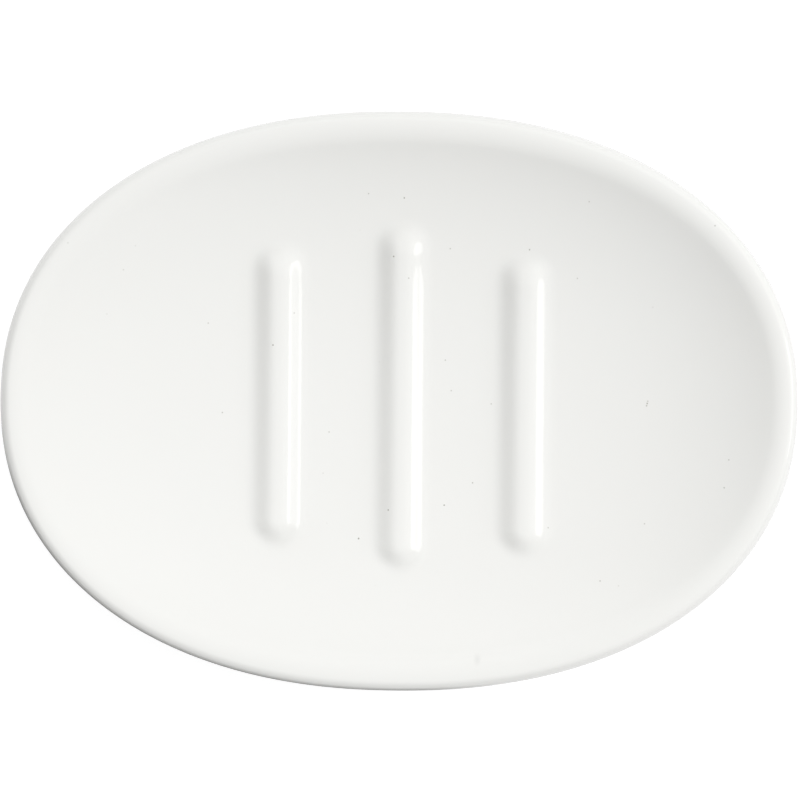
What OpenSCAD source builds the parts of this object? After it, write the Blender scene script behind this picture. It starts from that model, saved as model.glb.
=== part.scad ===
// Oval glazed soap dish with three raised ribs, a rolled lip and four soft pads under its foot.
// Millimetres. The pads rest on z = 0, x runs along the dish and the ribs run along y.

/* [Dish] */
// Length over the lip
dish_l = 140; // [125:1:180]
// Width over the lip
dish_w = 101.6; // [92:0.1:130]
// Shape of the oval: 2 is a plain ellipse, and more fills out its corners
oval_power = 2.2; // [2:0.05:2.8]
// Depth of the basin below the line where the lip begins
basin_depth = 11.2; // [8:0.1:15]
// Share of that depth that belongs to the steep zone beside the lip
steep_share = 0.43; // [0.2:0.01:0.6]
// How late the steep zone sets in: more keeps the middle flatter
steep_power = 5.3; // [4:0.1:7]
// Thickness of the floor over the hollow in the foot
floor_t = 5.4; // [3.5:0.1:9]
// How far the lip reaches out from its crest to its widest line
lip_reach = 1.8; // [1.4:0.1:3]
// How far the lip drops from its crest to its widest line
lip_drop = 2.8; // [1.8:0.1:3.2]
// Radius of the lip's inner side, between the basin and its crest
lip_inner_r = 6; // [3:0.1:7]
// How far the lip rolls under, past its widest line, in degrees
lip_under = 40; // [20:1:60]

/* [Ribs] */
// Width of a rib with its fillets
rib_w = 11.2; // [7:0.1:14]
// Distance between the middle lines of two ribs
rib_pitch = 21.7; // [15:0.1:24]
// Place of the middle rib to the right of the dish's middle
rib_shift = 0.4; // [-3:0.1:3]
// How far the rear end of a rib slopes down to the basin
rear_taper_l = 8; // [3:0.1:12]
// Height of the left rib above the basin
left_rib_h = 2.4; // [1.5:0.1:4]
// Height of the middle rib above the basin
middle_rib_h = 2.2; // [1.5:0.1:4]
// Height of the right rib above the basin
right_rib_h = 2.1; // [1.5:0.1:4]
// Length of the left rib with its fillets
left_rib_l = 56.5; // [30:0.5:60]
// Length of the middle rib with its fillets
middle_rib_l = 64.4; // [30:0.1:66]
// Length of the right rib with its fillets
right_rib_l = 56.3; // [30:0.1:60]
// Place of the left rib's middle behind the dish's middle
left_rib_y = 1.5; // [-3:0.1:3]
// Place of the middle rib's middle behind the dish's middle
middle_rib_y = 1.3; // [-3:0.1:3]
// Place of the right rib's middle behind the dish's middle
right_rib_y = -0.1; // [-3:0.1:3]

/* [Foot] */
// Length of the foot
foot_l = 88; // [80:1:100]
// Width of the foot
foot_w = 60; // [54:1:70]
// Height of the foot below the wall
foot_h = 2.5; // [2:0.1:4]
// Radius of the hollow fillet between the wall and the foot
foot_fillet_r = 1; // [0.4:0.1:1.2]
// Radius of the foot's outer edge
foot_edge_r = 0.8; // [0.3:0.1:0.8]
// Width of the bare band that the pads sit in
band_w = 11; // [10.5:0.1:13]
// Depth of the hollow inside the band
hollow_depth = 2.2; // [1:0.1:3]
// Width of the soft ramp around the hollow
ramp_w = 3; // [1.5:0.1:5]
// Angle of the wall where it meets the foot, in degrees above level
wall_rise = 10; // [5:1:20]

/* [Pads] */
// Diameter of a pad
pad_d = 8; // [6:0.1:8.2]
// Thickness of a pad
pad_t = 1.6; // [1.3:0.1:2.4]
// Radius of the pad's lower edge
pad_edge_r = 0.4; // [0.2:0.1:0.6]
// Depth of the round seat in the foot
seat_depth = 0.8; // [0.4:0.1:1.1]
// Clearance around a pad in its seat
seat_clearance = 0.3; // [0.1:0.05:0.4]
// Direction of a pad from the dish's middle, in degrees off the long axis
pad_angle = 33; // [25:1:45]
// Thickness of the adhesive film
adhesive_t = 0.2; // [0.1:0.05:0.3]
// How far the film stays inside the pad's rim
adhesive_inset = 0.2; // [0:0.1:0.6]

/* [Hidden] */

// How far a cutter runs past the face that it cuts
overrun = 0.5;
// How far the fine grid runs past the ribs
grid_margin = 1.5;

// Heights of the foot's face, the floor of the basin and the inner edge of the lip
foot_z = pad_t + adhesive_t - seat_depth;
floor_z = foot_z + hollow_depth + floor_t;
edge_z = floor_z + basin_depth;
wall_foot_z = foot_z + foot_h;

// Grid counts: across a rib, between ribs, along a rib's end and along its straight middle
rib_steps = 12;
gap_steps = 3;
end_steps = 9;
straight_steps = 8;
// Ring counts: basin, each part of the lip, wall, quarter rounds and the ramp of the hollow
basin_rings = 8;
lip_inner_rings = 2;
lip_outer_rings = 4;
lip_under_rings = 2;
wall_rings = 5;
round_rings = 2;
ramp_rings = 4;

function mix(a, b, t) = a + (b - a) * t;

// The share of the basin's depth at a share s of the way out, and its rate at the edge
function depth_share(s) = mix(pow(s, 2), pow(s, steep_power), steep_share);
edge_rate_share = mix(2, steep_power, steep_share);

// Angle at which the basin meets the lip, a distance reach from the middle
function edge_slope(reach) = atan(basin_depth * edge_rate_share / reach);

// Half size of the basin's edge, so that the lip ends at the half size given
function inner_half(half, turns = 6) = turns == 0
    ? half - lip_reach
    : half - lip_reach - lip_inner_r * sin(edge_slope(inner_half(half, turns - 1)));

dish_half = [dish_l, dish_w] / 2;
foot_half = [foot_l, foot_w] / 2;
edge_half = [inner_half(dish_half.x), inner_half(dish_half.y)];

// How far out a point lies in an oval: 0 in the middle and 1 on the oval
function oval_share(p, half) = pow(
    pow(abs(p.x) / half.x, oval_power) + pow(abs(p.y) / half.y, oval_power),
    1 / oval_power
);

// The point of an oval in a direction, and the outward normal there
function oval_point(angle, half) = let(way = [cos(angle), sin(angle)]) way / oval_share(way, half);
function oval_normal(p, half) = let(
    slope = [for (i = [0:1]) sign(p[i]) * pow(abs(p[i]) / half[i], oval_power - 1) / half[i]]
) slope / norm(slope);

// The ribs: place across the dish, front end and rear end with the fillets, and height
function rib(place, middle, length, height) =
    [rib_shift + place * rib_pitch, middle - length / 2, middle + length / 2, height];
ribs = [
    rib(-1, left_rib_y, left_rib_l, left_rib_h),
    rib(0, middle_rib_y, middle_rib_l, middle_rib_h),
    rib(1, right_rib_y, right_rib_l, right_rib_h)
];

// A soft S from 0 to 1
function soft_share(t) = (1 - cos(180 * t)) / 2;

// Height of one rib at a point. A share of 0 is on its middle line and 1 is on the basin, with a
// round top, a steep flank halfway and a fillet at the foot. The rear end also slopes down, from its
// full height at an end share of 0 to the basin at 1.
function rib_rise(p, line) = let(
    near_y = min(max(p.y, line[1] + rib_w / 2), line[2] - rib_w / 2),
    share = min(norm(p - [line[0], near_y]) / (rib_w / 2), 1),
    end_share = min(max(1 + (p.y - line[2]) / rear_taper_l, 0), 1)
) line[3] * (1 - share + sin(360 * share) / (2 * PI)) * (1 - soft_share(end_share));

function basin_height(p) = floor_z
    + basin_depth * depth_share(oval_share(p, edge_half))
    + max([for (line = ribs) rib_rise(p, line)]);

// Evenly spaced places after a, up to and with b
function steps(a, b, count) = [for (i = [1:count]) mix(a, b, i / count)];

// Grid lines across the ribs
grid_x = concat(
    [ribs[0][0] - rib_w / 2 - grid_margin, ribs[0][0] - rib_w / 2],
    steps(ribs[0][0] - rib_w / 2, ribs[0][0] + rib_w / 2, rib_steps),
    steps(ribs[0][0] + rib_w / 2, ribs[1][0] - rib_w / 2, gap_steps),
    steps(ribs[1][0] - rib_w / 2, ribs[1][0] + rib_w / 2, rib_steps),
    steps(ribs[1][0] + rib_w / 2, ribs[2][0] - rib_w / 2, gap_steps),
    steps(ribs[2][0] - rib_w / 2, ribs[2][0] + rib_w / 2, rib_steps),
    [ribs[2][0] + rib_w / 2 + grid_margin]
);

// Grid lines along the ribs, close together over their ends
front_y = min([for (line = ribs) line[1]]) - grid_margin;
rear_y = max([for (line = ribs) line[2]]) + grid_margin;
front_round_y = max([for (line = ribs) line[1]]) + rib_w / 2;
rear_round_y = min([for (line = ribs) line[2]]) - max(rib_w / 2, rear_taper_l);
grid_y = concat(
    [front_y],
    steps(front_y, front_round_y, end_steps),
    steps(front_round_y, rear_round_y, straight_steps),
    steps(rear_round_y, rear_y, end_steps)
);

cols = len(grid_x) - 1;
rows = len(grid_y) - 1;
grid_count = (cols + 1) * (rows + 1);

function grid_index(col, row) = row * (cols + 1) + col;

// The rim of the grid, counterclockwise from its front right corner, as column and row
grid_rim = concat(
    [for (row = [0:rows - 1]) [cols, row]],
    [for (col = [0:cols - 1]) [cols - col, rows]],
    [for (row = [0:rows - 1]) [0, rows - row]],
    [for (col = [0:cols - 1]) [col, 0]]
);
spokes = len(grid_rim);

// Direction of the grid's corners, and of each spoke at the lip, with one spoke on each axis
corner_angles = [
    atan2(grid_y[0], grid_x[cols]),
    atan2(grid_y[rows], grid_x[cols]),
    atan2(grid_y[rows], grid_x[0]),
    atan2(grid_y[0], grid_x[0]) + 360,
    atan2(grid_y[0], grid_x[cols]) + 360
];
// The angle a share t of the way from a to b, through the middle angle at one half
function through(a, middle, b, t) = t < 1 / 2 ? mix(a, middle, 2 * t) : mix(middle, b, 2 * t - 1);
spoke_angles = concat(
    [for (row = [0:rows - 1]) through(corner_angles[0], 0, corner_angles[1], row / rows)],
    [for (col = [0:cols - 1]) through(corner_angles[1], 90, corner_angles[2], col / cols)],
    [for (row = [0:rows - 1]) through(corner_angles[2], 180, corner_angles[3], row / rows)],
    [for (col = [0:cols - 1]) through(corner_angles[3], 270, corner_angles[4], col / cols)]
);

// A point of the lip, where turn is 90 at its crest and 0 at its widest line
function lip_point(angle, turn) = let(
    edge = oval_point(angle, edge_half),
    normal = oval_normal(edge, edge_half),
    slope = edge_slope(edge * normal),
    crest_z = edge_z + lip_inner_r * (1 - cos(slope)),
    bend = turn > 90 ? [lip_inner_r, lip_inner_r] : [lip_reach, lip_drop],
    out = edge + normal * (lip_inner_r * sin(slope) + bend.x * cos(turn))
) [out.x, out.y, crest_z + bend.y * (sin(turn) - 1)];

// The turns of the lip's rings. The first is set so that the basin runs into it without a crease.
function lip_turns(angle) = let(
    edge = oval_point(angle, edge_half),
    start = 90 + edge_slope(edge * oval_normal(edge, edge_half))
) concat(
    steps(start, 90, lip_inner_rings),
    steps(90, 0, lip_outer_rings),
    steps(0, -lip_under, lip_under_rings)
);

// A point that lies a distance grow outside the foot's oval, at a height
function foot_point(angle, grow, z) = let(
    p = oval_point(angle, foot_half + [grow, grow])
) [p.x, p.y, z];

// Direction of the lip where it runs out under its widest line: inwards and down
lip_end = [lip_reach * sin(lip_under), lip_drop * cos(lip_under)];
lip_end_way = lip_end / norm(lip_end);

// A point of the wall, on a curve that leaves the lip and the foot at their own angles
function wall_point(angle, t) = let(
    edge = oval_point(angle, edge_half),
    lip_way = -lip_end_way.x * oval_normal(edge, edge_half),
    foot_way = cos(wall_rise) * oval_normal(oval_point(angle, foot_half), foot_half),
    top = lip_point(angle, -lip_under),
    low = foot_point(angle, foot_fillet_r, wall_foot_z),
    pull = norm(top - low) / 3,
    top_pull = top + pull * [lip_way.x, lip_way.y, -lip_end_way.y],
    low_pull = low + pull * [foot_way.x, foot_way.y, sin(wall_rise)]
) mix(mix(mix(top, top_pull, t), mix(top_pull, low_pull, t), t),
      mix(mix(top_pull, low_pull, t), mix(low_pull, low, t), t), t);

function basin_point(spoke, t) = let(
    place = grid_rim[spoke],
    p = mix([grid_x[place[0]], grid_y[place[1]]], oval_point(spoke_angles[spoke], edge_half), t)
) [p.x, p.y, basin_height(p)];

// Every ring of the dish, from the grid's rim over the lip and down to the hollow
rings = concat(
    [for (k = [1:basin_rings]) [for (i = [0:spokes - 1]) basin_point(i, k / basin_rings)]],
    [for (k = [0:lip_inner_rings + lip_outer_rings + lip_under_rings - 1])
        [for (angle = spoke_angles) lip_point(angle, lip_turns(angle)[k])]],
    [for (k = [1:wall_rings]) [for (angle = spoke_angles) wall_point(angle, k / wall_rings)]],
    [for (k = [1:round_rings]) let(turn = 90 * k / round_rings) [for (angle = spoke_angles)
        foot_point(angle, foot_fillet_r * (1 - sin(turn)), wall_foot_z - foot_fillet_r * (1 - cos(turn)))]],
    [for (k = [0:round_rings]) let(turn = 90 * k / round_rings) [for (angle = spoke_angles)
        foot_point(angle, foot_edge_r * (cos(turn) - 1), foot_z + foot_edge_r * (1 - sin(turn)))]],
    [for (k = [0:ramp_rings]) let(t = k / ramp_rings) [for (angle = spoke_angles)
        foot_point(angle, -band_w - ramp_w * t, foot_z + hollow_depth * soft_share(t))]]
);

dish_points = concat(
    [for (y = grid_y) for (x = grid_x) [x, y, basin_height([x, y])]],
    [for (ring = rings) each ring],
    [[0, 0, foot_z + hollow_depth]]
);

// Point number of a spoke on a ring, where ring 0 is the rim of the grid
function ring_index(ring, spoke) = ring == 0
    ? grid_index(grid_rim[spoke % spokes][0], grid_rim[spoke % spokes][1])
    : grid_count + (ring - 1) * spokes + spoke % spokes;

dish_faces = concat(
    [for (row = [0:rows - 1]) for (col = [0:cols - 1])
        each [
            [grid_index(col, row), grid_index(col, row + 1), grid_index(col + 1, row + 1)],
            [grid_index(col, row), grid_index(col + 1, row + 1), grid_index(col + 1, row)]
        ]],
    [for (ring = [0:len(rings) - 1]) for (i = [0:spokes - 1])
        each [
            [ring_index(ring, i), ring_index(ring, i + 1), ring_index(ring + 1, i + 1)],
            [ring_index(ring, i), ring_index(ring + 1, i + 1), ring_index(ring + 1, i)]
        ]],
    [for (i = [0:spokes - 1])
        [ring_index(len(rings), i), ring_index(len(rings), i + 1), len(dish_points) - 1]]
);

// Places of the pads: 1 or -1 to the right and to the rear
front_left = [-1, -1];
front_right = [1, -1];
rear_left = [-1, 1];
rear_right = [1, 1];

// Moves a shape to a pad's place, on the middle line of the foot's band
module at_pad(side) {
    place = oval_point(pad_angle, foot_half - [band_w, band_w] / 2);
    translate([side.x * place.x, side.y * place.y, 0]) children();
}

module dish_body() {
    color("whitesmoke") difference() {
        polyhedron(dish_points, dish_faces, convexity = 6);
        for (side = [front_left, front_right, rear_left, rear_right])
            at_pad(side)
                translate([0, 0, foot_z - overrun])
                    cylinder(h = seat_depth + overrun, d = pad_d + 2 * seat_clearance, $fn = 64);
    }
}

// A soft pad with a rounded lower edge
module foot_pad(side) {
    color("gainsboro") at_pad(side) rotate_extrude($fn = 64)
        polygon(concat(
            [[0, 0]],
            [for (turn = [0:15:90])
                [pad_d / 2 - pad_edge_r * (1 - sin(turn)), pad_edge_r * (1 - cos(turn))]],
            [[pad_d / 2, pad_t], [0, pad_t]]
        ));
}

// The adhesive film between a pad and the ceiling of its seat
module pad_adhesive(side) {
    color("beige") at_pad(side) translate([0, 0, pad_t])
        cylinder(h = adhesive_t, d = pad_d - 2 * adhesive_inset, $fn = 64);
}

dish_body();
foot_pad(front_left);  // foot_pad_front_left
foot_pad(front_right);  // foot_pad_front_right
foot_pad(rear_left);  // foot_pad_rear_left
foot_pad(rear_right);  // foot_pad_rear_right
pad_adhesive(front_left);  // pad_adhesive_front_left
pad_adhesive(front_right);  // pad_adhesive_front_right
pad_adhesive(rear_left);  // pad_adhesive_rear_left
pad_adhesive(rear_right);  // pad_adhesive_rear_right
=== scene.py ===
import math

import bpy
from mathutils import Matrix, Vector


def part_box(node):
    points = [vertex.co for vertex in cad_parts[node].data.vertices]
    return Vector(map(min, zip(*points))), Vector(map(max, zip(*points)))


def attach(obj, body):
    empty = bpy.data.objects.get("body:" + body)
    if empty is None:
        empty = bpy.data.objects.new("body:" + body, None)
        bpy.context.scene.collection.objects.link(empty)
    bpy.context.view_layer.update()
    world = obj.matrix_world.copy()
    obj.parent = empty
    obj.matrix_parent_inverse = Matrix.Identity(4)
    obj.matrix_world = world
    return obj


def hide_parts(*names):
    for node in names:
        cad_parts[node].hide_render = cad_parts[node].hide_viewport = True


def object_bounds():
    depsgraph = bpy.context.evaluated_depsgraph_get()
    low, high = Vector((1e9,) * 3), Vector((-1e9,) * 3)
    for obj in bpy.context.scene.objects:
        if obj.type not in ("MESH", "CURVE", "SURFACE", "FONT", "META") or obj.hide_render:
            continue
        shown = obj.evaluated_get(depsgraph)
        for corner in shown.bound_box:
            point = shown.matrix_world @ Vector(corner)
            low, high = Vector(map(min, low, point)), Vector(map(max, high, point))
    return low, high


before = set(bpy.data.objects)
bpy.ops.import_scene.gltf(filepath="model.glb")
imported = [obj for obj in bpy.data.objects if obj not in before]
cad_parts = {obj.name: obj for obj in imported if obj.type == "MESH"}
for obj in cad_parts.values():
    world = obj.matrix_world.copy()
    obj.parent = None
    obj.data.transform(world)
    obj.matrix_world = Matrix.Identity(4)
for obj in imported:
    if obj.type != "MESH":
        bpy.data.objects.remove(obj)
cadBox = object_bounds()
scene = bpy.context.scene
mm = 0.001  # one millimetre in metres


# Feeds a node's socket from a wire or with a plain value
def feed(tree, socket, value):
    if isinstance(value, Wire):
        tree.links.new(value.socket, socket)
    else:
        socket.default_value = value


def sumNode(tree, operation, *values):
    node = tree.nodes.new("ShaderNodeMath")
    node.operation = operation
    for socket, value in zip(node.inputs, values):
        feed(tree, socket, value)
    return Wire(tree, node.outputs[0])


# A socket that can stand in an ordinary sum: each operator adds one Math node
class Wire:
    def __init__(self, tree, socket):
        self.tree = tree
        self.socket = socket

    def turned(self, operation, *others):
        return sumNode(self.tree, operation, self, *others)


for method, operation in {"add": "ADD", "sub": "SUBTRACT", "mul": "MULTIPLY",
                          "truediv": "DIVIDE", "pow": "POWER"}.items():
    setattr(Wire, f"__{method}__", lambda a, b, kind=operation: sumNode(a.tree, kind, a, b))
    setattr(Wire, f"__r{method}__", lambda a, b, kind=operation: sumNode(a.tree, kind, b, a))


def sine(a):
    return a.turned("SINE")


def cosine(a):
    return a.turned("COSINE")


def size(a):
    return a.turned("ABSOLUTE")


def larger(a, b):
    return a.turned("MAXIMUM", b)


def smaller(a, b):
    return a.turned("MINIMUM", b)


def between(a, low, high):
    return smaller(larger(a, low), high)


def blend(a, b, t):
    return (b - a) * t + a


def choose(test, no, yes):
    node = test.tree.nodes.new("GeometryNodeSwitch")
    node.input_type = "FLOAT"
    for name, value in (("Switch", test), ("False", no), ("True", yes)):
        feed(test.tree, node.inputs[name], value)
    return Wire(test.tree, node.outputs[0])


def length(*parts):
    total = parts[0] * parts[0]
    for part in parts[1:]:
        total = total + part * part
    return total ** 0.5


# A soft S from 0 to 1
def softStep(t):
    return (1 - cosine(between(t, 0.0, 1.0) * math.pi)) * 0.5


# A Geometry Nodes tree with one input for each size of its piece
def newTree(name, sizes):
    tree = bpy.data.node_groups.new(name, "GeometryNodeTree")
    tree.interface.new_socket("Geometry", in_out="INPUT", socket_type="NodeSocketGeometry")
    for label, value in sizes.items():
        socket = tree.interface.new_socket(label, in_out="INPUT", socket_type="NodeSocketFloat")
        socket.default_value = value
    tree.interface.new_socket("Geometry", in_out="OUTPUT", socket_type="NodeSocketGeometry")
    given = tree.nodes.new("NodeGroupInput")
    return tree, {label: Wire(tree, given.outputs[label]) for label in sizes}


# A vector socket in metres from sizes in millimetres
def metres(tree, values):
    joined = tree.nodes.new("ShaderNodeCombineXYZ")
    for socket, value in zip(joined.inputs, values):
        feed(tree, socket, value * mm if isinstance(value, Wire) else value)
    return joined.outputs[0]


# The ring at which each zone ends
def ringEnds(sizes):
    ends, total = {}, 0.0
    for label, count in sizes.items():
        if label.endswith(" Rings"):
            total = count + total
            ends[label] = total
    return ends


# How far a ring is through its zone, from 0 to 1
def zoneShare(ring, ends, sizes, zone, extra=0):
    start = ends[zone] - sizes[zone] + extra
    return between((ring - start) / (sizes[zone] - extra), 0.0, 1.0)


# Each ring takes the shape of its zone
def zoneShapes(ring, ends, shapes):
    point = shapes[0]
    for end, shape in zip(ends.values(), shapes[1:]):
        beyond = ring.turned("GREATER_THAN", end + 0.5)
        point = [choose(beyond, before, after) for before, after in zip(point, shape)]
    return point


# A flat grid, one unit between its lines, and each point's column and row on it
def flatSheet(tree, across, along):
    sheet = tree.nodes.new("GeometryNodeMeshGrid")
    for axis, count in (("X", across), ("Y", along)):
        feed(tree, sheet.inputs["Size " + axis], count)
        feed(tree, sheet.inputs["Vertices " + axis], count + 1)
    place = tree.nodes.new("ShaderNodeSeparateXYZ")
    tree.links.new(tree.nodes.new("GeometryNodeInputPosition").outputs[0], place.inputs[0])
    return sheet.outputs["Mesh"], Wire(tree, place.outputs[0]), Wire(tree, place.outputs[1])


# Sets the sheet's points and closes it where its edges meet
def wrapSheet(tree, sheet, point):
    wrap = tree.nodes.new("GeometryNodeSetPosition")
    tree.links.new(sheet, wrap.inputs["Geometry"])
    tree.links.new(metres(tree, point), wrap.inputs["Position"])
    close = tree.nodes.new("GeometryNodeMergeByDistance")
    close.inputs["Distance"].default_value = 0.002 * mm
    tree.links.new(wrap.outputs[0], close.inputs["Geometry"])
    return close.outputs[0]


# Smooth all over, apart from the sharp edges
sharpAngle = 50  # degrees between two faces


def finishTree(tree, shape, material):
    smooth = tree.nodes.new("GeometryNodeSetShadeSmooth")
    tree.links.new(shape, smooth.inputs["Geometry"])
    edgeAngle = Wire(tree, tree.nodes.new("GeometryNodeInputMeshEdgeAngle").outputs["Unsigned Angle"])
    crisp = tree.nodes.new("GeometryNodeSetShadeSmooth")
    crisp.domain = "EDGE"
    feed(tree, crisp.inputs["Selection"], edgeAngle.turned("GREATER_THAN", math.radians(sharpAngle)))
    crisp.inputs["Shade Smooth"].default_value = False
    tree.links.new(smooth.outputs[0], crisp.inputs["Geometry"])
    real = tree.nodes.new("GeometryNodeRealizeInstances")
    tree.links.new(crisp.outputs[0], real.inputs[0])
    paint = tree.nodes.new("GeometryNodeSetMaterial")
    paint.inputs["Material"].default_value = material
    tree.links.new(real.outputs[0], paint.inputs["Geometry"])
    tree.links.new(paint.outputs[0], tree.nodes.new("NodeGroupOutput").inputs[0])
    return tree


# The plain mesh that a tree leaves, standing for a CAD node
def makePiece(name, tree, sizes, material, node):
    seed = bpy.data.objects.new("seed", bpy.data.meshes.new("seed"))
    scene.collection.objects.link(seed)
    modifier = seed.modifiers.new(name, "NODES")
    modifier.node_group = tree
    for item in tree.interface.items_tree:
        if item.in_out == "INPUT" and item.name in sizes:
            modifier[item.identifier] = sizes[item.name]
    shape = bpy.data.meshes.new_from_object(seed.evaluated_get(bpy.context.evaluated_depsgraph_get()))
    seed.modifiers.remove(modifier)
    bpy.data.objects.remove(seed)
    shape.name = name
    shape.materials.clear()  # a cut leaves an empty slot before the real one
    shape.materials.append(material)
    piece = bpy.data.objects.new(name, shape)
    scene.collection.objects.link(piece)
    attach(piece, "root")
    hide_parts(node)
    print(name + ":", len(shape.vertices), "points,", len(shape.polygons), "faces")


# The dish casting: one square sheet whose rings wrap over the lip and close under the foot.
# Sizes in millimetres, angles in degrees.
dishLow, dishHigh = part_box("dish_body")
padLow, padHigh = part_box("foot_pad_rear_right")
footZ = dishLow.z / mm
padPlace = (padLow + padHigh) / 2 / mm
casting = {
    "Length": (dishHigh.x - dishLow.x) / mm,
    "Width": (dishHigh.y - dishLow.y) / mm,
    "Oval Power": 2.2,
    "Basin Depth": 11.2,
    "Steep Share": 0.43,
    "Steep Power": 5.3,
    "Floor Thickness": 5.4,
    "Lip Reach": 1.8,
    "Lip Drop": 2.8,
    "Lip Inner Radius": 6.0,
    "Lip Under": 40.0,
    "Rib Width": 11.2,
    "Rib Rear Taper": 8.0,
    "Left Rib Height": 2.4,
    "Left Rib Place": -21.3,
    "Left Rib Middle": 1.5,
    "Left Rib Length": 56.5,
    "Middle Rib Height": 2.2,
    "Middle Rib Place": 0.4,
    "Middle Rib Middle": 1.3,
    "Middle Rib Length": 64.4,
    "Right Rib Height": 2.1,
    "Right Rib Place": 22.1,
    "Right Rib Middle": -0.1,
    "Right Rib Length": 56.3,
    "Foot Length": 88.0,
    "Foot Width": 60.0,
    "Foot Height": 2.5,
    "Foot Face": footZ,
    "Foot Fillet": 1.0,
    "Foot Edge": 0.8,
    "Band Width": 11.0,
    "Hollow Depth": 2.2,
    "Ramp Width": 3.0,
    "Wall Rise": 10.0,
    "Seat Diameter": 8.6,
    "Seat Depth": 0.8,
    "Seat Sides": 96.0,
    "Pad Place X": padPlace.x,
    "Pad Place Y": padPlace.y,
    "Column Crowding": 0.72,  # under 1 brings the grid lines closer together over the ribs
    "Basin Rings": 100.0,
    "Inner Lip Rings": 5.0,
    "Outer Lip Rings": 9.0,
    "Under Lip Rings": 4.0,
    "Wall Rings": 12.0,
    "Fillet Rings": 4.0,
    "Edge Rings": 4.0,
    "Band Rings": 6.0,
    "Ramp Rings": 6.0,
    "Ceiling Rings": 3.0,
}


def castingTree(material):
    tree, dish = newTree("dishCasting", casting)
    ends = ringEnds(dish)
    wide = ends["Ceiling Rings"] * 2
    sheet, column, row = flatSheet(tree, wide, wide)
    ring = larger(size(column), size(row))

    # Each point's direction on a unit oval
    power = dish["Oval Power"]
    reach = larger(ring, dish["Basin Rings"])
    across = column / reach
    across = across * ((1 - dish["Column Crowding"]) * across * across + dish["Column Crowding"])
    along = row / reach
    level = larger(larger(size(across), size(along)), 0.000001)
    spread = (size(across / level) ** power + size(along / level) ** power) ** (1 / power)
    onOval = (across / level / spread, along / level / spread)

    def ovalNormal(half):
        slopes = [size(p) ** (power - 1) / h * p.turned("SIGN") for p, h in zip(onOval, half)]
        whole = length(*slopes)
        return [slope / whole for slope in slopes]

    # Basin edge, set in from the outline so that the round lip ends on the outline
    reachOut = dish["Lip Reach"]
    drop = dish["Lip Drop"]
    innerR = dish["Lip Inner Radius"]
    edgeRate = blend(2.0, dish["Steep Power"], dish["Steep Share"]) * dish["Basin Depth"]

    def edgeHalf(half):
        inner = half - reachOut
        for guess in range(5):
            inner = half - reachOut - innerR * sine((edgeRate / inner).turned("ARCTANGENT"))
        return inner

    edge = [edgeHalf(dish["Length"] * 0.5), edgeHalf(dish["Width"] * 0.5)]
    floorZ = dish["Foot Face"] + dish["Hollow Depth"] + dish["Floor Thickness"]
    edgeZ = floorZ + dish["Basin Depth"]
    normal = ovalNormal(edge)
    edgePoint = [p * half for p, half in zip(onOval, edge)]
    slope = (edgeRate / (edgePoint[0] * normal[0] + edgePoint[1] * normal[1])).turned("ARCTANGENT")

    # Basin with its ribs
    squeeze = blend(1.0, 1 / spread, softStep((level - 0.5) * 2))
    basin = [across * squeeze * edge[0], along * squeeze * edge[1]]
    out = (size(basin[0] / edge[0]) ** power + size(basin[1] / edge[1]) ** power) ** (1 / power)
    rise = None
    halfRib = dish["Rib Width"] * 0.5
    for side in ("Left", "Middle", "Right"):
        middle = dish[side + " Rib Middle"]
        straight = dish[side + " Rib Length"] * 0.5 - halfRib
        near = between(basin[1], middle - straight, middle + straight)
        away = length(basin[0] - dish[side + " Rib Place"], basin[1] - near) / halfRib
        away = smaller(away, 1.0)
        past = (basin[1] - middle - dish[side + " Rib Length"] * 0.5) / dish["Rib Rear Taper"] + 1
        ribRise = (1 - away + sine(away * (2 * math.pi)) / (2 * math.pi)) * (1 - softStep(past))
        ribRise = ribRise * dish[side + " Rib Height"]
        rise = ribRise if rise is None else larger(rise, ribRise)
    depthShare = blend(out * out, out ** dish["Steep Power"], dish["Steep Share"])
    basin.append(floorZ + dish["Basin Depth"] * depthShare + rise)

    def through(zone, extra=0):
        return zoneShare(ring, ends, dish, zone, extra)

    # Lip, from the basin's slope up to its crest, then out to its widest point and under
    crestOut = innerR * sine(slope)
    crestZ = edgeZ + innerR * (1 - cosine(slope))

    def lipPoint(turn, width, height):
        out = crestOut + width * cosine(turn)
        return [edgePoint[0] + normal[0] * out, edgePoint[1] + normal[1] * out,
                crestZ + height * (sine(turn) - 1)]

    quarter = math.pi / 2
    under = dish["Lip Under"].turned("RADIANS") * -1
    innerLip = lipPoint(blend(slope + quarter, quarter, through("Inner Lip Rings")), innerR, innerR)
    outerLip = lipPoint((1 - through("Outer Lip Rings")) * quarter, reachOut, drop)
    underLip = lipPoint(through("Under Lip Rings") * under, reachOut, drop)

    # Foot ovals and the wall between the lip and the foot
    foot = [dish["Foot Length"] * 0.5, dish["Foot Width"] * 0.5]

    def footPoint(grow, z):
        return [onOval[0] * (foot[0] + grow), onOval[1] * (foot[1] + grow), z]

    wallFoot = dish["Foot Face"] + dish["Foot Height"]
    top = lipPoint(under, reachOut, drop)
    low = footPoint(dish["Foot Fillet"], wallFoot)
    pull = length(*[a - b for a, b in zip(top, low)]) / 3
    footNormal = ovalNormal(foot)
    rising = dish["Wall Rise"].turned("RADIANS")
    inward, down = reachOut * sine(under), drop * cosine(under)
    steep = length(inward, down)
    lipWay = [normal[0] * inward / steep, normal[1] * inward / steep, down / steep * -1]
    footWay = [footNormal[0] * cosine(rising), footNormal[1] * cosine(rising), sine(rising)]
    t = through("Wall Rings")
    wall = []
    for topAt, topWay, lowAt, lowWay in zip(top, lipWay, low, footWay):
        a, b = topAt + topWay * pull, lowAt + lowWay * pull
        ab = blend(a, b, t)
        wall.append(blend(blend(blend(topAt, a, t), ab, t), blend(ab, blend(b, lowAt, t), t), t))

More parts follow.
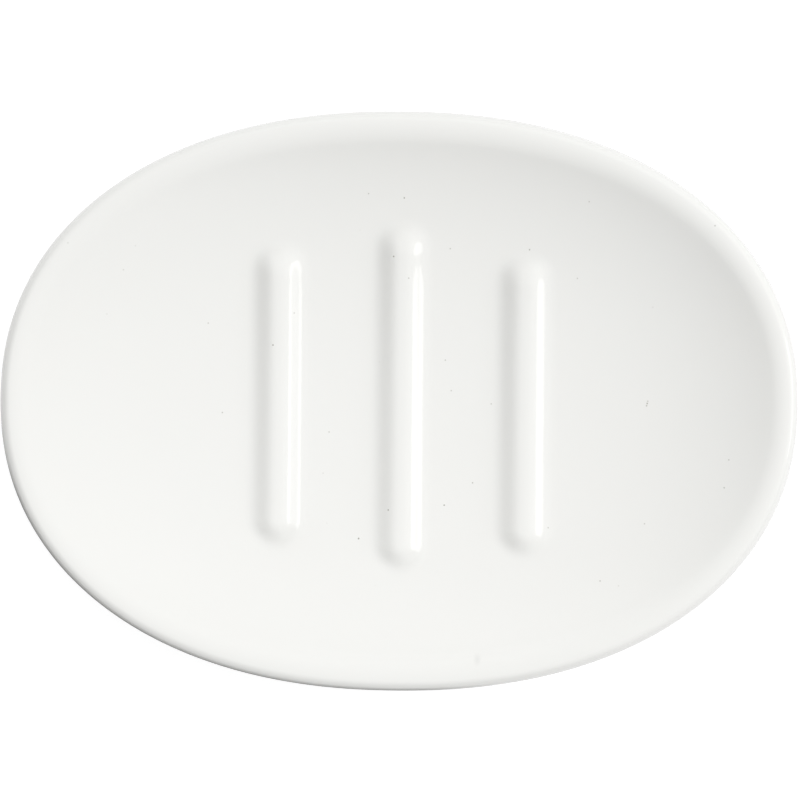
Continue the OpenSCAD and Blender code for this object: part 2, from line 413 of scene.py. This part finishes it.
    # Fillet, outer edge, bare band, ramp and ceiling of the hollow
    bend = through("Fillet Rings") * quarter
    fillet = footPoint(dish["Foot Fillet"] * (1 - sine(bend)),
                       wallFoot - dish["Foot Fillet"] * (1 - cosine(bend)))
    bend = through("Edge Rings", 1) * quarter
    footEdge = footPoint(dish["Foot Edge"] * (cosine(bend) - 1),
                         dish["Foot Face"] + dish["Foot Edge"] * (1 - sine(bend)))
    band = footPoint(blend(dish["Foot Edge"], dish["Band Width"], softStep(through("Band Rings"))) * -1,
                     dish["Foot Face"])
    t = through("Ramp Rings")
    ramp = footPoint((dish["Band Width"] + dish["Ramp Width"] * t) * -1,
                     dish["Foot Face"] + dish["Hollow Depth"] * softStep(t))
    inner = footPoint((dish["Band Width"] + dish["Ramp Width"]) * -1,
                      dish["Foot Face"] + dish["Hollow Depth"])
    t = through("Ceiling Rings")
    ceiling = [inner[0] * (1 - t), inner[1] * (1 - t), inner[2]]

    point = zoneShapes(ring, ends, (basin, innerLip, outerLip, underLip, wall, fillet, footEdge,
                                    band, ramp, ceiling))
    solid = wrapSheet(tree, sheet, point)

    # Round seats for the pads
    seats = tree.nodes.new("GeometryNodeJoinGeometry")
    cutter = tree.nodes.new("GeometryNodeMeshCylinder")
    feed(tree, cutter.inputs["Vertices"], dish["Seat Sides"])
    feed(tree, cutter.inputs["Radius"], dish["Seat Diameter"] * (0.5 * mm))
    feed(tree, cutter.inputs["Depth"], dish["Seat Depth"] * (2 * mm))
    for sideX in (-1, 1):
        for sideY in (-1, 1):
            move = tree.nodes.new("GeometryNodeTransform")
            tree.links.new(cutter.outputs["Mesh"], move.inputs["Geometry"])
            seat = [dish["Pad Place X"] * sideX, dish["Pad Place Y"] * sideY, dish["Foot Face"]]
            tree.links.new(metres(tree, seat), move.inputs["Translation"])
            tree.links.new(move.outputs[0], seats.inputs[0])
    cut = tree.nodes.new("GeometryNodeMeshBoolean")
    cut.operation = "DIFFERENCE"
    cut.solver = "EXACT"
    tree.links.new(solid, cut.inputs["Mesh 1"])
    tree.links.new(seats.outputs[0], cut.inputs["Mesh 2"])
    return finishTree(tree, cut.outputs[0], material)


# A soft pad: a sheet rolled round its middle line, closed below and above. The diameter, the
# thickness and the place of each pad come from its CAD node.
padSizes = {
    "Diameter": 8.0,
    "Thickness": 1.6,
    "Lower Edge": 0.4,
    "Upper Edge": 0.15,
    "Side Draw": 0.06,  # how far the soft side draws in towards its ends
    "Dimple Depth": 0.05,
    "Dimple Width": 5.0,
    "Place X": 0.0,
    "Place Y": 0.0,
    "Sides": 96.0,
    "Dimple Rings": 6.0,
    "Under Rings": 3.0,
    "Lower Edge Rings": 6.0,
    "Side Rings": 6.0,
    "Upper Edge Rings": 4.0,
    "Top Rings": 4.0,
}


def padTree(material):
    tree, soft = newTree("softPad", padSizes)
    ends = ringEnds(soft)
    count = ends["Top Rings"]
    sheet, column, row = flatSheet(tree, soft["Sides"], count)
    turn = column / soft["Sides"] * (2 * math.pi)
    ring = row + count * 0.5

    def through(zone):
        return zoneShare(ring, ends, soft, zone)

    # Each zone as its distance from the middle line and its height
    quarter = math.pi / 2
    half = soft["Diameter"] * 0.5
    dimple = soft["Dimple Width"] * 0.5
    lower = soft["Lower Edge"]
    upper = soft["Upper Edge"]
    t = through("Dimple Rings")
    hollow = [dimple * t, (1 - softStep(t)) * soft["Dimple Depth"]]
    under = [blend(dimple, half - lower, through("Under Rings")), lower * 0]
    bend = through("Lower Edge Rings") * quarter
    lowerEdge = [half - lower + lower * sine(bend), lower * (1 - cosine(bend))]
    t = through("Side Rings")
    side = [half - soft["Side Draw"] * (1 - sine(t * math.pi)), blend(lower, soft["Thickness"] - upper, t)]
    bend = through("Upper Edge Rings") * quarter
    upperEdge = [half - upper + upper * cosine(bend), soft["Thickness"] - upper * (1 - sine(bend))]
    top = [(half - upper) * (1 - through("Top Rings")), soft["Thickness"]]
    out, z = zoneShapes(ring, ends, (hollow, under, lowerEdge, side, upperEdge, top))
    point = [soft["Place X"] + out * cosine(turn), soft["Place Y"] + out * sine(turn), z]
    return finishTree(tree, wrapSheet(tree, sheet, point), material)


# Materials
def newMaterial(name):
    material = bpy.data.materials.new(name)
    material.use_nodes = True
    tree = material.node_tree
    shader = tree.nodes["Principled BSDF"]
    return material, tree, shader


def objectPoint(tree):
    return tree.nodes.new("ShaderNodeTexCoord").outputs["Object"]


def noise(tree, scale, detail=2.0, rough=0.5):
    node = tree.nodes.new("ShaderNodeTexNoise")
    node.inputs["Scale"].default_value = scale
    node.inputs["Detail"].default_value = detail
    node.inputs["Roughness"].default_value = rough
    tree.links.new(objectPoint(tree), node.inputs["Vector"])
    return Wire(tree, node.outputs[0])


# One fine grain for every unglazed surface: a mottle from 0 to 1, and the height of its pits
def grainGroup():
    group = bpy.data.node_groups.new("fineGrain", "ShaderNodeTree")
    group.interface.new_socket("Point", in_out="INPUT", socket_type="NodeSocketVector")
    for name in ("Scale", "Detail", "Unevenness", "Pit Share"):
        group.interface.new_socket(name, in_out="INPUT", socket_type="NodeSocketFloat")
    for name in ("Mottle", "Height"):
        group.interface.new_socket(name, in_out="OUTPUT", socket_type="NodeSocketFloat")
    given = group.nodes.new("NodeGroupInput")
    cloud = group.nodes.new("ShaderNodeTexNoise")
    pits = group.nodes.new("ShaderNodeTexVoronoi")
    for node in (cloud, pits):
        group.links.new(given.outputs["Point"], node.inputs["Vector"])
        group.links.new(given.outputs["Scale"], node.inputs["Scale"])
    group.links.new(given.outputs["Detail"], cloud.inputs["Detail"])
    group.links.new(given.outputs["Unevenness"], cloud.inputs["Roughness"])
    mottle = Wire(group, cloud.outputs[0])
    hollow = 1 - softStep(Wire(group, pits.outputs["Distance"]) * 2.5)
    pit = Wire(group, given.outputs["Pit Share"]) * hollow
    result = group.nodes.new("NodeGroupOutput")
    feed(group, result.inputs["Mottle"], mottle)
    feed(group, result.inputs["Height"], mottle - pit)
    return group


def addGrain(tree, look):
    node = tree.nodes.new("ShaderNodeGroup")
    node.node_tree = fineGrain
    tree.links.new(objectPoint(tree), node.inputs["Point"])
    for name, value in look.items():
        node.inputs[name].default_value = value
    return Wire(tree, node.outputs["Mottle"]), Wire(tree, node.outputs["Height"])


def colourMix(tree, factor, first, second):
    node = tree.nodes.new("ShaderNodeMix")
    node.data_type = "RGBA"
    feed(tree, node.inputs[0], factor)
    for socket, value in ((node.inputs[6], first), (node.inputs[7], second)):
        if isinstance(value, Wire):
            feed(tree, socket, value)
        else:
            socket.default_value = (*value, 1.0)
    return Wire(tree, node.outputs[2])


def bump(tree, height, distance):
    node = tree.nodes.new("ShaderNodeBump")
    node.inputs["Strength"].default_value = 1.0
    node.inputs["Distance"].default_value = distance
    feed(tree, node.inputs["Height"], height)
    return node.outputs["Normal"]


glaze = {
    "white": (0.874, 0.876, 0.856),
    "cream": (0.866, 0.866, 0.842),
    "mottleScale": 30.0,
    "roughness": 0.05,
    "roughnessDrift": 0.03,
    "roughnessScale": 90.0,
    "ripple": 0.02,
    "rippleScale": 45.0,
    # Small dark flecks in the glaze: place along x and y in millimetres, then how dark
    "flecks": [
        (43.9, 0.3, 0.45), (43.8, -0.1, 0.8), (43.7, -0.5, 0.6), (-7.0, -24.4, 1.0), (8.1, -18.4, 0.8),
        (22.8, 26.9, 0.7), (-1.2, 25.5, 0.8), (13.1, -14.4, 0.55), (0.6, 35.8, 0.8), (-31.3, -2.3, 0.5),
        (-1.8, -19.3, 0.7), (-5.7, 36.5, 0.45), (57.2, -14.8, 0.5), (26.5, -22.2, 0.4), (-22.4, 9.7, 0.8),
        (1.5, 21.7, 0.45), (33.1, 35.3, 0.35), (8.8, 27.0, 0.45), (35.6, -31.4, 0.5), (-18.7, 15.4, 0.35),
        (58.0, -9.9, 0.45), (43.4, -21.3, 0.4), (-12.4, -5.6, 0.4), (31.3, 21.9, 0.35), (8.1, 7.3, 0.45),
        (-33.9, 13.5, 0.4), (16.3, -0.4, 0.4), (9.2, 1.9, 0.4), (55.0, 31.1, 0.5), (-13.4, -12.9, 0.2),
        (-58.2, 27.2, 0.25), (-46.6, 26.9, 0.15), (-51.6, 14.9, 0.15), (-48.7, 22.7, 0.25),
        (38.8, -32.2, 0.2), (44.6, 16.9, 0.15),
    ],
    "fleckRadius": 0.19,
    "fleckEdge": 1.6,  # a higher number gives a harder edge
    "fleckDent": 0.02,
    "fleckColour": (0.30, 0.285, 0.24),
    # One soft grey cloud in the glaze near the front edge
    "cloudPlace": (14.0, -45.2),
    "cloudSize": (0.9, 1.5),
    "cloudColour": (0.80, 0.80, 0.78),
    # Sparse pinholes all over, also where the photo doesn't reach
    "pinholeSpacing": 7 * mm,
    "pinholeRadius": 0.11 * mm,
    "pinholeEdge": 0.6,  # share of the radius over which it fades
    "pinholeShade": 0.35,
    # The bare foot and its slightly uneven glaze line
    "clay": (0.74, 0.715, 0.65),
    "clayShade": (0.66, 0.635, 0.57),
    "clayGrain": {"Scale": 2600.0, "Detail": 4.0, "Unevenness": 0.6, "Pit Share": 0.5},
    "clayRoughness": 0.65,
    "clayBump": 0.03,
    "bareTop": (footZ + 0.35) * mm,
    "lineFray": 0.5 * mm,
    "frayScale": 260.0,
    "lineEdge": 0.12 * mm,
    "bump": 1 * mm,
}


def glazeMaterial():
    material, tree, shader = newMaterial("milkGlaze")
    colour = colourMix(tree, noise(tree, glaze["mottleScale"]), glaze["white"], glaze["cream"])
    place = tree.nodes.new("ShaderNodeSeparateXYZ")
    tree.links.new(objectPoint(tree), place.inputs[0])
    x, y, z = (Wire(tree, place.outputs[i]) for i in range(3))

    def planDistance(centre, width, depth):
        return length((x - centre[0] * mm) / (width * mm), (y - centre[1] * mm) / (depth * mm))

    cloud = softStep(1 - planDistance(glaze["cloudPlace"], *glaze["cloudSize"]))
    colour = colourMix(tree, cloud, colour, glaze["cloudColour"])
    radius = glaze["fleckRadius"]
    speck = 0.0
    for fleckX, fleckY, dark in glaze["flecks"]:
        away = planDistance((fleckX, fleckY), radius, radius)
        speck = larger(softStep((1 - away) * glaze["fleckEdge"]) * dark, speck)
    pinholes = tree.nodes.new("ShaderNodeTexVoronoi")
    pinholes.inputs["Scale"].default_value = 1 / glaze["pinholeSpacing"]
    tree.links.new(objectPoint(tree), pinholes.inputs["Vector"])
    reach = glaze["pinholeRadius"] / glaze["pinholeSpacing"]
    inside = reach - Wire(tree, pinholes.outputs["Distance"])
    pinhole = softStep(inside / (glaze["pinholeEdge"] * reach))
    speck = larger(speck, pinhole * glaze["pinholeShade"])
    colour = colourMix(tree, speck, colour, glaze["fleckColour"])

    # The foot's face is left bare
    fray = (noise(tree, glaze["frayScale"], 3.0) - 0.5) * glaze["lineFray"]
    bare = softStep((glaze["bareTop"] - z + fray) / glaze["lineEdge"])
    mottle, grainHeight = addGrain(tree, glaze["clayGrain"])
    clay = colourMix(tree, mottle, glaze["clay"], glaze["clayShade"])
    feed(tree, shader.inputs["Base Color"], colourMix(tree, bare, colour, clay))
    rough = noise(tree, glaze["roughnessScale"]) * glaze["roughnessDrift"] + glaze["roughness"]
    feed(tree, shader.inputs["Roughness"], rough + bare * glaze["clayRoughness"])
    height = noise(tree, glaze["rippleScale"], 1.0) * (1 - bare) * glaze["ripple"]
    height = height + grainHeight * bare * glaze["clayBump"] - speck * glaze["fleckDent"]
    tree.links.new(bump(tree, height, glaze["bump"]), shader.inputs["Normal"])
    return material


pad = {
    "colour": (0.80, 0.80, 0.77),
    "shade": (0.72, 0.72, 0.68),
    "grain": {"Scale": 900.0, "Detail": 3.0, "Unevenness": 0.5, "Pit Share": 0.15},
    "roughness": 0.42,
    "roughnessDrift": 0.15,
    "softness": 0.35,
    "softReach": (1.0 * mm, 1.0 * mm, 0.9 * mm),
    "bump": 0.02 * mm,
}


def padMaterial():
    material, tree, shader = newMaterial("softSilicone")
    mottle, height = addGrain(tree, pad["grain"])
    feed(tree, shader.inputs["Base Color"], colourMix(tree, mottle, pad["colour"], pad["shade"]))
    feed(tree, shader.inputs["Roughness"], mottle * pad["roughnessDrift"] + pad["roughness"])
    shader.inputs["Subsurface Weight"].default_value = pad["softness"]
    shader.inputs["Subsurface Radius"].default_value = pad["softReach"]
    tree.links.new(bump(tree, height, pad["bump"]), shader.inputs["Normal"])
    return material


film = {
    "colour": (0.84, 0.82, 0.74),
    "shade": (0.76, 0.74, 0.66),
    "grain": {"Scale": 1500.0, "Detail": 4.0, "Unevenness": 0.7, "Pit Share": 0.3},
    "roughness": 0.55,
    "roughnessDrift": 0.2,
    "bump": 0.01 * mm,
}


def filmMaterial():
    material, tree, shader = newMaterial("adhesiveFilm")
    mottle, height = addGrain(tree, film["grain"])
    feed(tree, shader.inputs["Base Color"], colourMix(tree, mottle, film["colour"], film["shade"]))
    feed(tree, shader.inputs["Roughness"], mottle * film["roughnessDrift"] + film["roughness"])
    tree.links.new(bump(tree, height, film["bump"]), shader.inputs["Normal"])
    return material


def makeDish():
    milkGlaze = glazeMaterial()
    makePiece("glazed_dish", castingTree(milkGlaze), casting, milkGlaze, "dish_body")


def makePads():
    silicone = padMaterial()
    tree = padTree(silicone)
    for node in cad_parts:
        if node.startswith("foot_pad"):
            low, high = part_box(node)
            sizes = dict(padSizes)
            sizes["Diameter"] = (high.x - low.x) / mm
            sizes["Thickness"] = high.z / mm
            sizes["Place X"] = (low.x + high.x) / 2 / mm
            sizes["Place Y"] = (low.y + high.y) / 2 / mm
            makePiece(node.replace("foot", "soft"), tree, sizes, silicone, node)


# The films keep their CAD solids
def dressFilms():
    adhesive = filmMaterial()
    for name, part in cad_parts.items():
        if name.startswith("pad_adhesive"):
            part.data.materials.clear()
            part.data.materials.append(adhesive)
    print("adhesive films dressed")


studio = {
    # Soft lights around the dish: height over the horizon and turn from +X in degrees, then how
    # narrow, then strength
    "softLights": [
        (60, 0, 7, 0.94),
        (60, 60, 7, 0.78),
        (60, 240, 7, 0.36),
        (60, 300, 7, 0.85),
        (30, 65, 7, 0.60),
        (30, 110, 7, 1.02),
        (30, 155, 7, 0.78),
        (30, 335, 7, 0.46),
        (8, 90, 7, 0.79),
        (8, 270, 7, 0.56),
        (8, 315, 7, 0.74),
    ],
    # What the glaze mirrors: a dim room with its bright sides, written in the same way
    "room": 0.42,
    "roomSides": [
        (50, 180, 4, 0.32),
        (50, 270, 4, 0.52),
        (20, 0, 12, 0.11),
        (20, 110, 12, 0.50),
        (20, 245, 12, 0.39),
        (20, 300, 12, 0.60),
    ],
    "background": 1.0,
    "floorColour": 0.5,
    "floorLift": 0.72,
    "floorSize": 3.0,
    # A dark card on the floor under one side of the lip: painted shade that stands in for the floor's
    # shadow there and darkens the lip's outer edge in what it mirrors and receives. Its ends and their
    # fade in degrees of turn, share of the dish's size, and height
    "cardTurn": (177, 293),
    "cardFade": 22,
    "cardFaces": 48,
    "cardInner": 0.8,
    "cardOuter": 2.0,
    "cardHeight": 1.0 * mm,
    # how dark the painted shade card is
    "cardShade": 0.02,
    "lamps": {
        "sideBox": {"place": (0.45, 0.015, 0.17), "size": (0.19, 0.2), "radiance": 1.0},
        "sideBar": {"place": (0.44, 0.015, 0.203), "size": (0.19, 0.132), "radiance": 1.4},
    },
}


def lightPath(tree):
    return tree.nodes.new("ShaderNodeLightPath").outputs


def glowSum(tree, look, lights):
    total = 0.0
    for climb, turn, focus, strength in lights:
        toward = tree.nodes.new("ShaderNodeVectorMath")
        toward.operation = "DOT_PRODUCT"
        tree.links.new(look, toward.inputs[0])
        climb, turn = math.radians(climb), math.radians(turn)
        toward.inputs[1].default_value = (math.cos(turn) * math.cos(climb),
                                          math.sin(turn) * math.cos(climb), math.sin(climb))
        total = larger(Wire(tree, toward.outputs["Value"]), 0.0) ** focus * strength + total
    return total


def makeWorld():
    world = bpy.data.worlds.new("studioSky")
    world.use_nodes = True
    tree = world.node_tree
    look = tree.nodes.new("ShaderNodeTexCoord").outputs["Generated"]
    path = lightPath(tree)
    light = blend(glowSum(tree, look, studio["softLights"]),
                  glowSum(tree, look, studio["roomSides"]) + studio["room"],
                  Wire(tree, path["Is Glossy Ray"]))
    seen = smaller(Wire(tree, path["Is Camera Ray"]) + Wire(tree, path["Is Transmission Ray"]), 1.0)
    background = tree.nodes["Background"]
    background.inputs["Color"].default_value = (1.0, 1.0, 1.0, 1.0)
    feed(tree, background.inputs["Strength"], blend(light, studio["background"], seen))
    scene.world = world
    print("world:", len(studio["softLights"]), "soft lights")


def addStage(name, points, faces, material):
    shape = bpy.data.meshes.new(name)
    shape.from_pydata(points, [], faces)
    shape.materials.append(material)
    thing = bpy.data.objects.new(name, shape)
    scene.collection.objects.link(thing)
    return thing


def makeFloor():
    half = studio["floorSize"] / 2
    material, tree, shader = newMaterial("paleFloor")
    shader.inputs["Base Color"].default_value = (studio["floorColour"],) * 3 + (1.0,)
    shader.inputs["Roughness"].default_value = 1.0
    shader.inputs["Specular IOR Level"].default_value = 0.0
    shader.inputs["Emission Color"].default_value = (1.0, 1.0, 1.0, 1.0)
    path = lightPath(tree)
    seen = smaller(Wire(tree, path["Is Camera Ray"]) + Wire(tree, path["Is Glossy Ray"]), 1.0)
    feed(tree, shader.inputs["Emission Strength"], seen * studio["floorLift"])
    corners = [(-half, -half, 0), (half, -half, 0), (half, half, 0), (-half, half, 0)]
    addStage("floor", corners, [(0, 1, 2, 3)], material)
    print("floor:", studio["floorSize"], "m wide")


# The card is painted shade, dark from above and clear from below, so the floor keeps its light
# while the lip's outer edge mirrors the card's shade and gets less light bounced up from the floor
def makePaintedShadeCard():
    material, tree, shader = newMaterial("paintedShadeCard")
    shader.inputs["Base Color"].default_value = (studio["cardShade"],) * 3 + (1.0,)
    shader.inputs["Roughness"].default_value = 1.0
    shader.inputs["Specular IOR Level"].default_value = 0.0
    start, end = studio["cardTurn"]
    facing = tree.nodes.new("ShaderNodeNewGeometry").outputs["Backfacing"]
    split = tree.nodes.new("ShaderNodeSeparateXYZ")
    tree.links.new(objectPoint(tree), split.inputs[0])
    x, y = (Wire(tree, split.outputs[i]) for i in (0, 1))
    middle = math.radians((start + end) / 2)
    across = y * math.cos(middle) - x * math.sin(middle)
    along = x * math.cos(middle) + y * math.sin(middle)
    fromMiddle = size(across.turned("ARCTAN2", along)) * (180 / math.pi)
    solid = softStep(((end - start) / 2 - fromMiddle) / studio["cardFade"])
    feed(tree, shader.inputs["Alpha"], (1 - Wire(tree, facing)) * solid)
    power = casting["Oval Power"]
    half = [casting["Length"] / 2, casting["Width"] / 2]
    count = studio["cardFaces"]
    points = []
    for i in range(count + 1):
        turn = math.radians(start + (end - start) * i / count)
        spread = (abs(math.cos(turn)) ** power + abs(math.sin(turn)) ** power) ** (1 / power)
        wide = math.sin(math.pi * i / count) ** 0.5
        for reach in (studio["cardInner"], 1 + (studio["cardOuter"] - 1) * wide):
            points.append((math.cos(turn) / spread * half[0] * reach * mm,
                           math.sin(turn) / spread * half[1] * reach * mm, studio["cardHeight"]))
    faces = [(2 * i, 2 * i + 1, 2 * i + 3, 2 * i + 2) for i in range(count)]
    # hidden from the camera, the painted shade card darkens only what the lip mirrors and the light it
    # gets from below
    addStage("card", points, faces, material).visible_camera = False
    print("card:", count, "faces")


def makeLamps():
    for name, spec in studio["lamps"].items():
        lamp = bpy.data.lights.new(name, "AREA")
        lamp.shape = "RECTANGLE"
        lamp.size, lamp.size_y = spec["size"]
        lamp.energy = spec["radiance"] * math.pi * lamp.size * lamp.size_y
        box = bpy.data.objects.new(name, lamp)
        scene.collection.objects.link(box)
        box.location = spec["place"]
        climb = math.atan(box.location.z / box.location.x)
        box.rotation_euler = (math.pi / 2 - climb, 0, math.pi / 2)
        box.visible_camera = False
    print("lamps:", ", ".join(studio["lamps"]))


# The camera looks straight down, and its frame is measured at the lip's widest line
view = {
    "frameWidth": 140.35 * mm,
    "middleX": 0.13 * mm,
    "middleY": 0.17 * mm,
    "turn": 0.46,
    "distance": 0.9,
    "sensorWidth": 36.0,
}


def makeCamera():
    lens = bpy.data.cameras.new("camera")
    camera = bpy.data.objects.new("camera", lens)
    scene.collection.objects.link(camera)
    widestZ = cadBox[1].z - casting["Lip Drop"] * mm
    lens.sensor_width = view["sensorWidth"]
    lens.lens = view["sensorWidth"] * view["distance"] / view["frameWidth"]
    lens.clip_end = 20.0
    camera.location = (view["middleX"], view["middleY"], widestZ + view["distance"])
    camera.rotation_euler = (0.0, 0.0, math.radians(view["turn"]))
    scene.camera = camera
    print("camera:", round(lens.lens), "mm lens")


fineGrain = grainGroup()
makeDish()
makePads()
dressFilms()
makeWorld()
makeFloor()
makePaintedShadeCard()
makeLamps()
makeCamera()
scene.view_settings.view_transform = "Standard"
